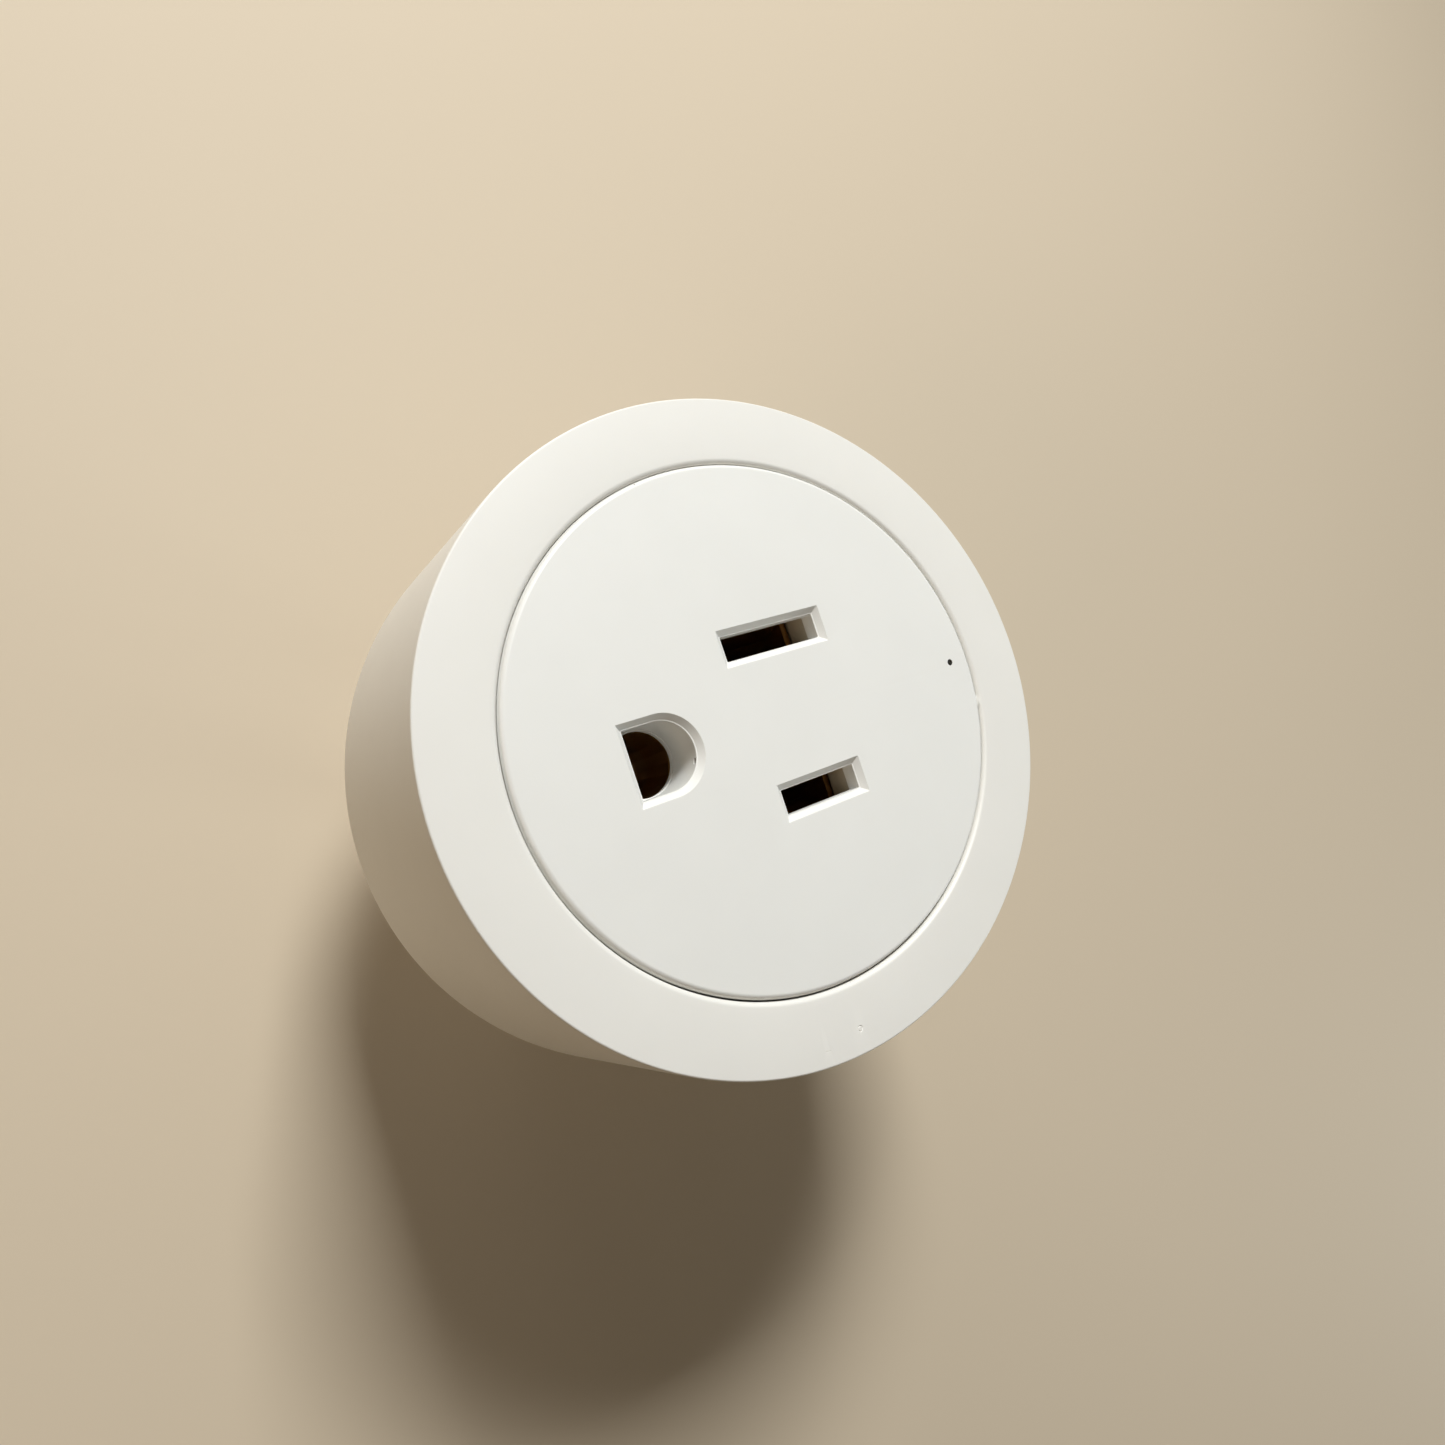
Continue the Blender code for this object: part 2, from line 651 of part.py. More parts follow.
def contact_retainer(look):
    """The plate that closes the carrier from below, held with the board by two screws."""
    made = prism("contact_retainer", carrier_outline(), RETAINER_BOTTOM, RETAINER_TOP, look)
    for number, spot in enumerate(SCREW_PLACES):
        ear = disc(f"retainer_ear_{number + 1}", 2.5 * MM, RETAINER_BOTTOM, RETAINER_TOP, look, 24, spot)
        unite(made, ear)
        inward = 1 if spot[1] < 0 else -1
        neck = rectangle(5 * MM, 3.2 * MM, (0.0, spot[1] + inward * 1.6 * MM))
        unite(made, prism(f"retainer_neck_{number + 1}", neck, RETAINER_BOTTOM, RETAINER_TOP, look))
        cut(made, disc(f"retainer_hole_{number + 1}", 1.5 * MM, 7 * MM, 10 * MM, look, 16, spot))
    cut_contact_holes(made, 7 * MM, 10 * MM, look)
    return made


def carrier_screw(number, look):
    """A pan-head screw through the retainer and the board into the rear cover's boss."""
    spot = SCREW_PLACES[number]
    head = RETAINER_TOP + GAP / 3
    profile = [
        (0.0, head + 1.5 * MM),
        (0.0, 2.4 * MM),
        (0.6 * MM, 2.4 * MM),
        (1.05 * MM, 3.2 * MM),
        (1.05 * MM, head),
        (2.2 * MM, head),
        (2.2 * MM, head + 0.9 * MM),
        (1.5 * MM, head + 1.5 * MM),
    ]
    made = turned(f"carrier_screw_{number + 1}", profile, look, 16)
    place(made, (spot[0], spot[1], 0.0))
    for turn in (0, 90):
        outline = rectangle(2.6 * MM, 0.5 * MM)
        groove = prism(f"drive_groove_{number + 1}_{turn}", outline, head + 0.8 * MM, head + 3 * MM, look)
        place(groove, (spot[0], spot[1], 0.0), (0, 0, turn))
        cut(made, groove)
    return made


# ---------------------------------------------------------------- circuit boards and components


def main_board(look):
    """The round power board, with holes for the blades, the contact tails, the ground strap and the screws."""
    made = disc("main_board", BOARD_RADIUS, BOARD_BOTTOM, BOARD_TOP, look, 48)
    cut_contact_holes(made, 5 * MM, 8 * MM, look)
    for number, spot in enumerate(SCREW_PLACES):
        cut(made, disc(f"board_hole_{number + 1}", 1.6 * MM, 5 * MM, 8 * MM, look, 16, spot))
    return made


def bulk_capacitor(number, y, look):
    """An electrolytic can: crimp groove near the base and a rolled edge at the top."""
    r = 3.15 * MM
    base = BOARD_TOP + GAP
    top = base + 11 * MM
    profile = [
        (0.0, top - 0.2 * MM),
        (0.0, base),
        (r - 0.3 * MM, base),
        (r, base + 0.4 * MM),
        (r, base + 1.4 * MM),
        (r - 0.4 * MM, base + 1.8 * MM),
        (r, base + 2.2 * MM),
        (r, top - 0.4 * MM),
        (r - 0.4 * MM, top),
        (r - 0.7 * MM, top - 0.2 * MM),
    ]
    return place(turned(f"bulk_capacitor_{number}", profile, look, 20), (-14.4 * MM, y, 0.0))


def output_capacitor(look):
    base = BOARD_TOP + GAP
    r = 2.2 * MM
    profile = [
        (0.0, base + 7 * MM),
        (0.0, base),
        (r, base),
        (r, base + 6.6 * MM),
        (r - 0.4 * MM, base + 7 * MM),
    ]
    return place(turned("output_capacitor", profile, look, 16), (8.0 * MM, 12.5 * MM, 0.0))


def standing_box(name, size, centre, angle, look):
    """A box-shaped component that stands on the board, turned about Z."""
    base = BOARD_TOP + GAP
    made = prism(name, rectangle(size[0], size[1]), base, base + size[2], look)
    bevel = made.modifiers.new("soft_edges", "BEVEL")
    bevel.width = 0.3 * MM
    bevel.segments = 1
    return place(made, (centre[0], centre[1], 0.0), (0, 0, angle))


def film_capacitor(look):
    size = (7.5 * MM, 3.8 * MM, 8.5 * MM)
    return standing_box("film_capacitor", size, (-12.65 * MM, 11.8 * MM), 47, look)


def varistor(look):
    """A coated disc standing on its edge."""
    base = BOARD_TOP + GAP
    r = 3.5 * MM
    outline = circle(r, 20, (0.0, base + r))
    inset = circle(r - 0.5 * MM, 20, (0.0, base + r))
    rings = []
    for ring, y in ((inset, -1.7 * MM), (outline, -1.2 * MM), (outline, 1.2 * MM), (inset, 1.7 * MM)):
        rings.append([(x, y, z) for x, z in ring])
    return place(loft("varistor", rings, look), (-11.3 * MM, -12.6 * MM, 0.0), (0, 0, -42))


def fuse_resistor(look):
    """A fusible resistor standing upright, waisted between its end caps."""
    base = BOARD_TOP + GAP
    r = 1.6 * MM
    profile = [
        (0.0, base + 9 * MM),
        (0.0, base),
        (r, base),
        (r, base + 1.6 * MM),
        (r - 0.25 * MM, base + 2.1 * MM),
        (r - 0.25 * MM, base + 6.9 * MM),
        (r, base + 7.4 * MM),
        (r, base + 9 * MM),
    ]
    return place(turned("fuse_resistor", profile, look, 16), (-5.6 * MM, -17.4 * MM, 0.0))


def filter_inductor(look):
    """A drum-core choke: two flanges with the winding between them."""
    base = BOARD_TOP + GAP
    r = 2.9 * MM
    profile = [
        (0.0, base + 7.4 * MM),
        (0.0, base),
        (r, base),
        (r, base + 1.1 * MM),
        (r - 0.35 * MM, base + 1.1 * MM),
        (r - 0.35 * MM, base + 6.3 * MM),
        (r, base + 6.3 * MM),
        (r, base + 7.4 * MM),
    ]
    return place(turned("filter_inductor", profile, look, 20), (9.0 * MM, -14.6 * MM, 0.0))


def surface_chip(name, size, centre, look):
    """A chip on the underside of the main board."""
    top = BOARD_BOTTOM - GAP
    low = (centre[0] - size[0] / 2, centre[1] - size[1] / 2, top - size[2])
    high = (centre[0] + size[0] / 2, centre[1] + size[1] / 2, top)
    return block(name, low, high, look)


# ---------------------------------------------------------------- relay


def relay_block(name, low, high, look):
    """A box inside the relay, with X measured from the relay's middle plane."""
    return block(name, (RELAY_MID_X + low[0], low[1], low[2]), (RELAY_MID_X + high[0], high[1], high[2]), look)


def relay_case(look):
    half = (RELAY_X[1] - RELAY_X[0]) / 2
    length = RELAY_HALF_LENGTH
    made = relay_block("relay_case", (-half, -length, RELAY_BOTTOM), (half, length, RELAY_TOP), look)
    wall = 0.6 * MM
    low = (-half + wall, -length + wall, 5 * MM)
    high = (half - wall, length - wall, RELAY_TOP - wall)
    cut(made, relay_block("relay_room_cutter", low, high, look))
    return made


def relay_base(look):
    low = (-2.6 * MM, -9.1 * MM, RELAY_BOTTOM)
    high = (2.6 * MM, 9.1 * MM, RELAY_BOTTOM + 1.3 * MM)
    made = relay_block("relay_base", low, high, look)
    pin = relay_block("fixed_pin_cutter", (-1.3 * MM, 5.6 * MM, 7 * MM), (1.3 * MM, 6.8 * MM, 10 * MM), look)
    cut(made, pin)
    return made


def relay_bobbin(look):
    """The spool that carries the winding: two flanges and a tube."""
    spot = (RELAY_MID_X, -3.8 * MM)
    outer = stadium_y(2.6 * MM, 5.6 * MM, spot)
    inner = stadium_y(1.6 * MM, 4.6 * MM, spot)
    made = sleeve("relay_bobbin", outer, inner, 9.9 * MM, 18.5 * MM, look)
    for name, z in (("bobbin_foot", 9.9 * MM), ("bobbin_head", 17.7 * MM)):
        flange = stadium_y(5.0 * MM, 9.6 * MM, spot)
        unite(made, sleeve(name, flange, inner, z, z + 0.8 * MM, look))
    return made


def stadium_y(width, length, centre):
    """A slot shape, longer along Y."""
    return [(centre[0] + x, centre[1] - y) for y, x in stadium(length, width, 6)]


def relay_coil(look):
    spot = (RELAY_MID_X, -3.8 * MM)
    outer = stadium_y(4.8 * MM, 8.6 * MM, spot)
    inner = stadium_y(3.0 * MM, 6.0 * MM, spot)
    return sleeve("relay_coil", outer, inner, 11.0 * MM, 17.4 * MM, look)


def relay_core(look):
    spot = (RELAY_MID_X, -3.8 * MM)
    return prism("relay_core", stadium_y(1.2 * MM, 4.2 * MM, spot), 9.9 * MM, 19.3 * MM, look)


def relay_yoke(look):
    """The upright iron plate beside the coil, whose top edge is the armature's pivot."""
    return relay_block("relay_yoke", (-2.5 * MM, 1.6 * MM, 9.4 * MM), (2.5 * MM, 2.4 * MM, 19.7 * MM), look)


def relay_armature(look):
    """The iron flap over the core. It tilts on the yoke's top edge and carries the moving contact."""
    pivot_y, pivot_z = ARMATURE_HINGE
    low = (-2.3 * MM, -8.4 * MM, pivot_z - 0.1 * MM)
    high = (2.3 * MM, pivot_y + 0.9 * MM, pivot_z + 0.8 * MM)
    made = relay_block("relay_armature", low, high, look)
    leg_low = (-2.3 * MM, pivot_y, 14.8 * MM)
    leg_high = (2.3 * MM, pivot_y + 0.9 * MM, pivot_z + 0.3 * MM)
    unite(made, relay_block("armature_leg", leg_low, leg_high, look))
    return set_origin(made, (RELAY_MID_X, pivot_y, pivot_z))


def moving_contact(look):
    """The contact spring on the armature's leg, with its silver tip."""
    pivot_y = ARMATURE_HINGE[0]
    back = pivot_y + 0.9 * MM + GAP
    low = (-1.6 * MM, back, 10.6 * MM)
    high = (1.6 * MM, back + 0.3 * MM, 18 * MM)
    made = relay_block("moving_contact", low, high, look)
    face = circle(1.2 * MM, 16, (RELAY_MID_X, 12 * MM))
    tip = along_y("moving_tip", face, back + 0.2 * MM, back + 0.9 * MM, look)
    unite(made, tip)
    return set_origin(made, (RELAY_MID_X, pivot_y, ARMATURE_HINGE[1]))


def fixed_contact(look):
    """The upright terminal that the moving contact closes on, with its pin through the board."""
    low = (-1.0 * MM, 5.9 * MM, RELAY_BOTTOM)
    high = (1.0 * MM, 6.5 * MM, 14.2 * MM)
    made = relay_block("fixed_contact", low, high, look)
    tip = along_y("fixed_tip", circle(1.2 * MM, 16, (RELAY_MID_X, 12 * MM)), 5.6 * MM, 6.1 * MM, look)
    unite(made, tip)
    return made


# ---------------------------------------------------------------- the whole plug


def build_housing():
    white = material("white_plastic", (0.83, 0.82, 0.79), 0.42)
    outer_shell(white)
    front_cover(material("face_plastic", (0.84, 0.83, 0.80), 0.42))
    rear_cover(material("rear_plastic", (0.80, 0.79, 0.76), 0.45))
    button_cap(material("button_plastic", (0.84, 0.83, 0.80), 0.38))


def build_contacts():
    nickel = material("nickel_plate", (0.72, 0.70, 0.66), 0.28, 1.0)
    brass = material("brass", (0.78, 0.55, 0.26), 0.32, 1.0)
    steel = material("zinc_steel", (0.62, 0.63, 0.65), 0.35, 1.0)
    insulator = material("insulator", (0.74, 0.73, 0.70), 0.55)
    blade("neutral_blade", -BLADE_SPACING / 2, nickel)
    blade("line_blade", BLADE_SPACING / 2, nickel)
    ground_pin(nickel)
    blade_contact("neutral_contact", -BLADE_SPACING / 2, NEUTRAL_CONTACT_WIDTH, brass)
    blade_contact("line_contact", BLADE_SPACING / 2, LINE_CONTACT_WIDTH, brass)
    ground_contact(brass)
    ground_strap(brass)
    contact_carrier(insulator)
    contact_retainer(insulator)
    for number in range(len(SCREW_PLACES)):
        carrier_screw(number, steel)


def build_electronics():
    board = material("circuit_board", (0.05, 0.22, 0.12), 0.5)
    black = material("black_plastic", (0.03, 0.03, 0.03), 0.45)
    can = material("capacitor_sleeve", (0.06, 0.07, 0.10), 0.35)
    film = material("film_case", (0.70, 0.55, 0.15), 0.45)
    blue = material("varistor_coat", (0.10, 0.20, 0.45), 0.4)
    tin = material("tinned_steel", (0.70, 0.71, 0.72), 0.3, 1.0)
    clear = material("clear_plastic", (0.86, 0.88, 0.88), 0.15)
    main_board(board)
    control_board(board)
    bulk_capacitor(1, -3.7 * MM, can)
    bulk_capacitor(2, 3.5 * MM, can)
    output_capacitor(can)
    film_capacitor(film)
    varistor(blue)
    fuse_resistor(material("resistor_body", (0.42, 0.50, 0.40), 0.5))
    filter_inductor(black)
    surface_chip("bridge_rectifier", (4.7 * MM, 3.9 * MM, 1.5 * MM), (-13.0 * MM, -5.0 * MM), black)
    surface_chip("converter_chip", (4.9 * MM, 3.9 * MM, 1.5 * MM), (-13.0 * MM, 4.0 * MM), black)
    wifi_shield(tin)
    wifi_chip(black)
    board_header(black)
    switch_body(black)
    switch_plunger(material("plunger_plastic", (0.75, 0.75, 0.72), 0.4))
    status_led(clear)
    light_pipe(clear)


def build_relay():
    iron = material("relay_iron", (0.55, 0.55, 0.56), 0.4, 1.0)
    copper = material("copper_winding", (0.60, 0.26, 0.12), 0.35, 1.0)
    silver = material("contact_alloy", (0.80, 0.62, 0.42), 0.3, 1.0)
    relay_case(material("relay_case_plastic", (0.04, 0.10, 0.28), 0.35))
    relay_base(material("relay_base_plastic", (0.05, 0.05, 0.05), 0.5))
    relay_bobbin(material("bobbin_plastic", (0.55, 0.53, 0.48), 0.5))
    relay_coil(copper)
    relay_core(iron)
    relay_yoke(iron)
    relay_armature(iron)
    moving_contact(silver)
    fixed_contact(silver)


def main():
    for old in list(bpy.data.objects):
        bpy.data.objects.remove(old, do_unlink=True)
    build_housing()
    build_contacts()
    build_electronics()
    build_relay()


main()
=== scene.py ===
"""The look of the smart plug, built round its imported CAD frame.

Z = 0 is the back face that meets the wall outlet and Z = 27 mm is the socket face. Lengths are in metres.
"""

import json
import math

import bmesh
import bpy
from mathutils import Matrix, Vector


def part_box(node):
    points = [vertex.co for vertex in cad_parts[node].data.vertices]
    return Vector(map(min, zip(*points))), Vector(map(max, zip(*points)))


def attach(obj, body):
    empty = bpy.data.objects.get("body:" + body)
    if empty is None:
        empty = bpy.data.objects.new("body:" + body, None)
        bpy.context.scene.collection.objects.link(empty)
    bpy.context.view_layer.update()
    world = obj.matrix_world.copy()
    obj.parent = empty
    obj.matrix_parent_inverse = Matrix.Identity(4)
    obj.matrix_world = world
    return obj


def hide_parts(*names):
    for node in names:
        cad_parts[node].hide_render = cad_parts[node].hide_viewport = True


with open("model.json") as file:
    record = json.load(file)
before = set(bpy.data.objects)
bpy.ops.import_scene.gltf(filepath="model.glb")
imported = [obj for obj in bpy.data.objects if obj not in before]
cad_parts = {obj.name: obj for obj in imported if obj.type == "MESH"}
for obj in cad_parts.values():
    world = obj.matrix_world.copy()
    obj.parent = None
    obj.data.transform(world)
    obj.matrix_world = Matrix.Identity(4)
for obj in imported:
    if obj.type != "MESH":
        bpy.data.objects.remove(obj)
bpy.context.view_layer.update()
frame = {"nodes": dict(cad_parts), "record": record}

MM = 0.001
GAP = 0.3 * MM

# Housing, as in the CAD model
SHELL_HIGH = Vector(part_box("outer_shell")[1])
FACE_Z = SHELL_HIGH.z
SHELL_RADIUS = SHELL_HIGH.x
DRAFT = math.radians(0.7)
WALL = 1.9 * MM
RIM_FILLET = 0.15 * MM
REAR_RADIUS = 5.0 * MM
RIM_OPENING = 21.0 * MM
LEDGE_RADIUS = 20.4 * MM
LEDGE_TOP = 23.9 * MM
LEDGE_BOTTOM = 22.9 * MM
REAR_OPENING = 18.5 * MM
REAR_CHAMFER = 0.3 * MM
REAR_LIP = 1.8 * MM
REAR_COVER_RADIUS = 20.2 * MM
REAR_COVER_TOP = 3.3 * MM
BOSS_RADIUS = 2.4 * MM
BOSS_TOP = 5.7 * MM
PILOT_RADIUS = 1.25 * MM
PILOT_BOTTOM = 1.6 * MM
SCREW_Y = (-16.6 * MM, 11.4 * MM)

# Socket face, as in the CAD model
BLADE_X = 6.35 * MM
BLADE_Y = 2.4 * MM
GROUND_Y = -9.5 * MM
COVER_UNDERSIDE = 25.0 * MM
COVER_RIM_UNDERSIDE = 24.2 * MM
COVER_RIM_INNER = 18.6 * MM
OPENING_CHAMFER = 0.5 * MM
NEUTRAL_SLOT = (2.0 * MM, 8.7 * MM)
LINE_SLOT = (2.0 * MM, 7.0 * MM)
GROUND_HOLE_RADIUS = 2.65 * MM
GROUND_HOLE_FLAT = 2.47 * MM
GROUND_WELL_FLOOR = 22.4 * MM
GROUND_WELL_BOTTOM = 21.9 * MM
GROUND_WELL_WALL = 1.1 * MM
PIN_HOLE_RADIUS = 2.6 * MM
LED_Y = 18.8 * MM
LIGHT_RECESS_RADIUS = 1.1 * MM
LIGHT_RECESS_TOP = 26.3 * MM
HOOK_ANGLES = (40, 140, 220, 320)
HOOK_HALF_WIDTH = 2.0 * MM

# Prongs, as in the CAD model
BLADE_WIDTH = 6.35 * MM
BLADE_THICKNESS = 1.5 * MM
BLADE_LENGTH = 17.5 * MM
BLADE_HOLE_RADIUS = 1.6 * MM
BLADE_HOLE_Z = -11.9 * MM
PIN_RADIUS = 2.4 * MM
PIN_LENGTH = 20.7 * MM
PIN_COLLAR_RADIUS = 3.8 * MM
PIN_STUB_RADIUS = 1.4 * MM
SHOULDER_Z = 3.6 * MM

# Button, as in the CAD model
BUTTON_Z = 14.5 * MM
BUTTON_SIZE = (9.4 * MM, 4.6 * MM)
BUTTON_FLANGE = (11.4 * MM, 6.6 * MM)
BUTTON_STEM_RADIUS = 1.5 * MM
BUTTON_FACE_RADIUS = 26.4 * MM
BUTTON_CLEARANCE = 0.35 * MM

# Finer detail than the CAD model's
ROUND_SEGMENTS = 192
SHARP_ANGLE = 28
EDGE_SOFTNESS = 0.07 * MM
SEAM_FILLET = 0.42 * MM
COVER_RADIUS = 20.92 * MM
COVER_EDGE = 0.43 * MM
COVER_FILLET = 0.36 * MM
COVER_SHIFT = (-0.06 * MM, 0.02 * MM)
SLOT_CORNER = 0.1 * MM
PINHOLE_RADIUS = 0.28 * MM
PINHOLE_FLARE = 0.9 * MM

# Stage
FLOOR_Z = -PIN_LENGTH
FLOOR_HALF_SIZE = 3.0
LIGHTS_AIM = Vector((0.0, 0.0, 13 * MM))


# ---------------------------------------------------------------- materials


class Nodes:
    """A small helper that adds shader nodes and links them."""

    def __init__(self, name):
        self.material = bpy.data.materials.new(name)
        self.material.use_nodes = True
        self.tree = self.material.node_tree
        self.shader = self.tree.nodes["Principled BSDF"]
        self.place = self.add("ShaderNodeTexCoord").outputs["Object"]

    def add(self, kind, **settings):
        node = self.tree.nodes.new(kind)
        for key, value in settings.items():
            setattr(node, key, value)
        return node

    def link(self, source, target):
        self.tree.links.new(source, target)

    def feed(self, socket, source):
        """Drives one of the main shader's inputs."""
        self.link(source, self.shader.inputs[socket])

    def noise(self, scale, detail=2.0, roughness=0.5):
        node = self.add("ShaderNodeTexNoise")
        node.inputs["Scale"].default_value = scale
        node.inputs["Detail"].default_value = detail
        node.inputs["Roughness"].default_value = roughness
        self.link(self.place, node.inputs["Vector"])
        return node.outputs["Fac"]

    def squeezed_noise(self, scale):
        """Noise squeezed along Z into fine lines, for drawn or rolled metal."""
        mapping = self.add("ShaderNodeMapping")
        mapping.inputs["Scale"].default_value = (1.0, 1.0, 12.0)
        self.link(self.place, mapping.inputs["Vector"])
        node = self.add("ShaderNodeTexNoise")
        node.inputs["Scale"].default_value = scale
        self.link(mapping.outputs["Vector"], node.inputs["Vector"])
        return node.outputs["Fac"]

    def spread(self, source, low, high):
        node = self.add("ShaderNodeMapRange")
        node.inputs["To Min"].default_value = low
        node.inputs["To Max"].default_value = high
        self.link(source, node.inputs["Value"])
        return node.outputs["Result"]

    def blend_colours(self, factor, one, two):
        """A Mix node set to colours. Inputs 6 and 7 are the two colours, and output 2 is the result."""
        node = self.add("ShaderNodeMix", data_type="RGBA")
        self.link(factor, node.inputs["Factor"])
        node.inputs[6].default_value = (*one, 1.0)
        node.inputs[7].default_value = (*two, 1.0)
        return node.outputs[2]

    def bump(self, height, distance, strength):
        node = self.add("ShaderNodeBump")
        node.inputs["Distance"].default_value = distance
        node.inputs["Strength"].default_value = strength
        self.link(height, node.inputs["Height"])
        self.feed("Normal", node.outputs["Normal"])


def shade(colour, factor):
    return tuple(channel * factor for channel in colour)


def plastic(name, colour, roughness, depth=0.0):
    """Moulded plastic: faint clouds in the colour, an uneven satin finish and a fine spark-eroded grain.

    The depth is the weight of the light that scatters under its surface.
    """
    made = Nodes(name)
    cloud = made.noise(180.0, 3.0)
    made.feed("Base Color", made.blend_colours(cloud, shade(colour, 0.975), shade(colour, 1.015)))
    made.feed("Roughness", made.spread(made.noise(900.0), roughness - 0.05, roughness + 0.05))
    made.shader.inputs["Specular IOR Level"].default_value = 0.42
    if depth:
        made.shader.inputs["Subsurface Weight"].default_value = depth
        made.shader.inputs["Subsurface Scale"].default_value = 0.2 * MM
        made.shader.inputs["Subsurface Radius"].default_value = (1.0, 0.9, 0.75)
    made.bump(made.noise(5200.0, 3.0, 0.6), 0.004 * MM, 0.6)
    return made.material


def metal(name, colour, roughness):
    """Plated or rolled metal with fine drawn lines."""
    made = Nodes(name)
    lines = made.squeezed_noise(2600.0)
    made.shader.inputs["Metallic"].default_value = 1.0
    stain = made.noise(350.0, 4.0)
    made.feed("Base Color", made.blend_colours(stain, shade(colour, 0.86), shade(colour, 1.04)))
    made.feed("Roughness", made.spread(lines, roughness - 0.08, roughness + 0.1))
    made.bump(lines, 0.002 * MM, 0.5)
    return made.material


def winding(name, colour):
    """Enamelled wire wound round Z, one turn above the next, its copper darkened into painted shade in the
    grooves between the turns.
    """
    made = Nodes(name)
    wave = made.add("ShaderNodeTexWave", wave_type="BANDS", bands_direction="Z")
    wave.inputs["Scale"].default_value = 1100.0
    made.link(made.place, wave.inputs["Vector"])
    made.shader.inputs["Metallic"].default_value = 0.9
    made.shader.inputs["Roughness"].default_value = 0.32
    # Painted shade: the copper darkens to 0.45 of its colour in the grooves between the turns, where the
    # bump sinks.
    made.feed("Base Color", made.blend_colours(wave.outputs["Fac"], shade(colour, 0.45), colour))
    made.bump(wave.outputs["Fac"], 0.05 * MM, 0.8)
    return made.material


def circuit_board(name):
    """Green solder mask with the faint outline of copper under it."""
    made = Nodes(name)
    cells = made.add("ShaderNodeTexVoronoi", distance="MANHATTAN")
    cells.inputs["Scale"].default_value = 420.0
    made.link(made.place, cells.inputs["Vector"])
    copper = made.spread(cells.outputs["Distance"], 0.0, 1.0)
    made.feed("Base Color", made.blend_colours(copper, (0.015, 0.11, 0.05), (0.03, 0.2, 0.1)))
    made.shader.inputs["Roughness"].default_value = 0.38
    made.bump(copper, 0.02 * MM, 0.4)
    return made.material


def clear(name):
    """Clear plastic with a faintly uneven polish."""
    made = Nodes(name)
    made.shader.inputs["Base Color"].default_value = (0.86, 0.88, 0.88, 1.0)
    made.shader.inputs["Transmission Weight"].default_value = 0.85
    made.shader.inputs["IOR"].default_value = 1.49
    made.feed("Roughness", made.spread(made.noise(1500.0), 0.05, 0.16))
    return made.material


# ---------------------------------------------------------------- mesh tools


def add_object(name, bm, look):
    bmesh.ops.remove_doubles(bm, verts=bm.verts, dist=1e-7)
    bmesh.ops.recalc_face_normals(bm, faces=bm.faces)
    mesh = bpy.data.meshes.new(name)
    bm.to_mesh(mesh)
    bm.free()
    mesh.materials.append(look)
    finish_shading(mesh)
    made = bpy.data.objects.new(name, mesh)
    bpy.context.scene.collection.objects.link(made)
    return made


def arc(radius, start, end, steps, centre=(0.0, 0.0)):
    """Points from one angle to another, in degrees, both ends included."""
    points = []
    for i in range(steps + 1):
        angle = math.radians(start + (end - start) * i / steps)
        points.append((centre[0] + radius * math.cos(angle), centre[1] + radius * math.sin(angle)))
    return points


def circle(radius, steps, centre=(0.0, 0.0)):
    return arc(radius, 0, 360, steps, centre)[:-1]


def blade_slot(width, height, x):
    """The outline of a slot for a blade, with slightly rounded corners."""
    w, h = width / 2 - SLOT_CORNER, height / 2 - SLOT_CORNER
    points = []
    for start, sx, sy in ((180, -1, -1), (270, 1, -1), (0, 1, 1), (90, -1, 1)):
        points += arc(SLOT_CORNER, start, start + 90, 3, (x + sx * w, BLADE_Y + sy * h))
    return points


def stadium(width, height, steps, centre=(0.0, 0.0)):
    """A slot's outline: two straight sides joined by half circles."""
    x, y = centre
    r = height / 2
    reach = width / 2 - r
    return arc(r, -90, 90, steps, (x + reach, y)) + arc(r, 90, 270, steps, (x - reach, y))


def ground_outline(radius, flat):
    """The D of the ground hole: half a circle, and straight sides down to its flat."""
    top = arc(radius, 0, 180, 40, (0.0, GROUND_Y))
    return top + [(-radius, GROUND_Y - flat), (radius, GROUND_Y - flat)]


def at_height(outline, z):
    return [(x, y, z) for x, y in outline]


def loft(name, rings, look):
    """Joins rings of equally many points, and closes both ends."""
    bm = bmesh.new()
    rows = [[bm.verts.new(point) for point in ring] for ring in rings]
    count = len(rows[0])
    for low, high in zip(rows, rows[1:]):
        for i in range(count):
            j = (i + 1) % count
            bm.faces.new((low[i], low[j], high[j], high[i]))
    bm.faces.new(rows[0])
    bm.faces.new(rows[-1])
    return add_object(name, bm, look)


def prism(name, outline, bottom, top, look):
    return loft(name, [at_height(outline, bottom), at_height(outline, top)], look)


def along_y(name, rings, look):
    """A loft along Y, from (y, outline in X and Z) pairs."""
    return loft(name, [[(x, y, z) for x, z in outline] for y, outline in rings], look)


def turned(name, profile, look, segments=ROUND_SEGMENTS):
    """Turns a closed profile of (radius, height) points round Z."""
    bm = bmesh.new()
    rings = []
    for r, z in profile:
        if r < 1e-9:
            rings.append([bm.verts.new((0.0, 0.0, z))])
        else:
            rings.append([bm.verts.new((x, y, z)) for x, y in circle(r, segments)])
    for one, two in zip(rings, rings[1:] + rings[:1]):
        if len(one) == 1 and len(two) == 1:
            continue
        for i in range(segments):
            j = (i + 1) % segments
            corners = [one[i % len(one)], one[j % len(one)], two[j % len(two)], two[i % len(two)]]
            bm.faces.new(list(dict.fromkeys(corners)))
    return add_object(name, bm, look)


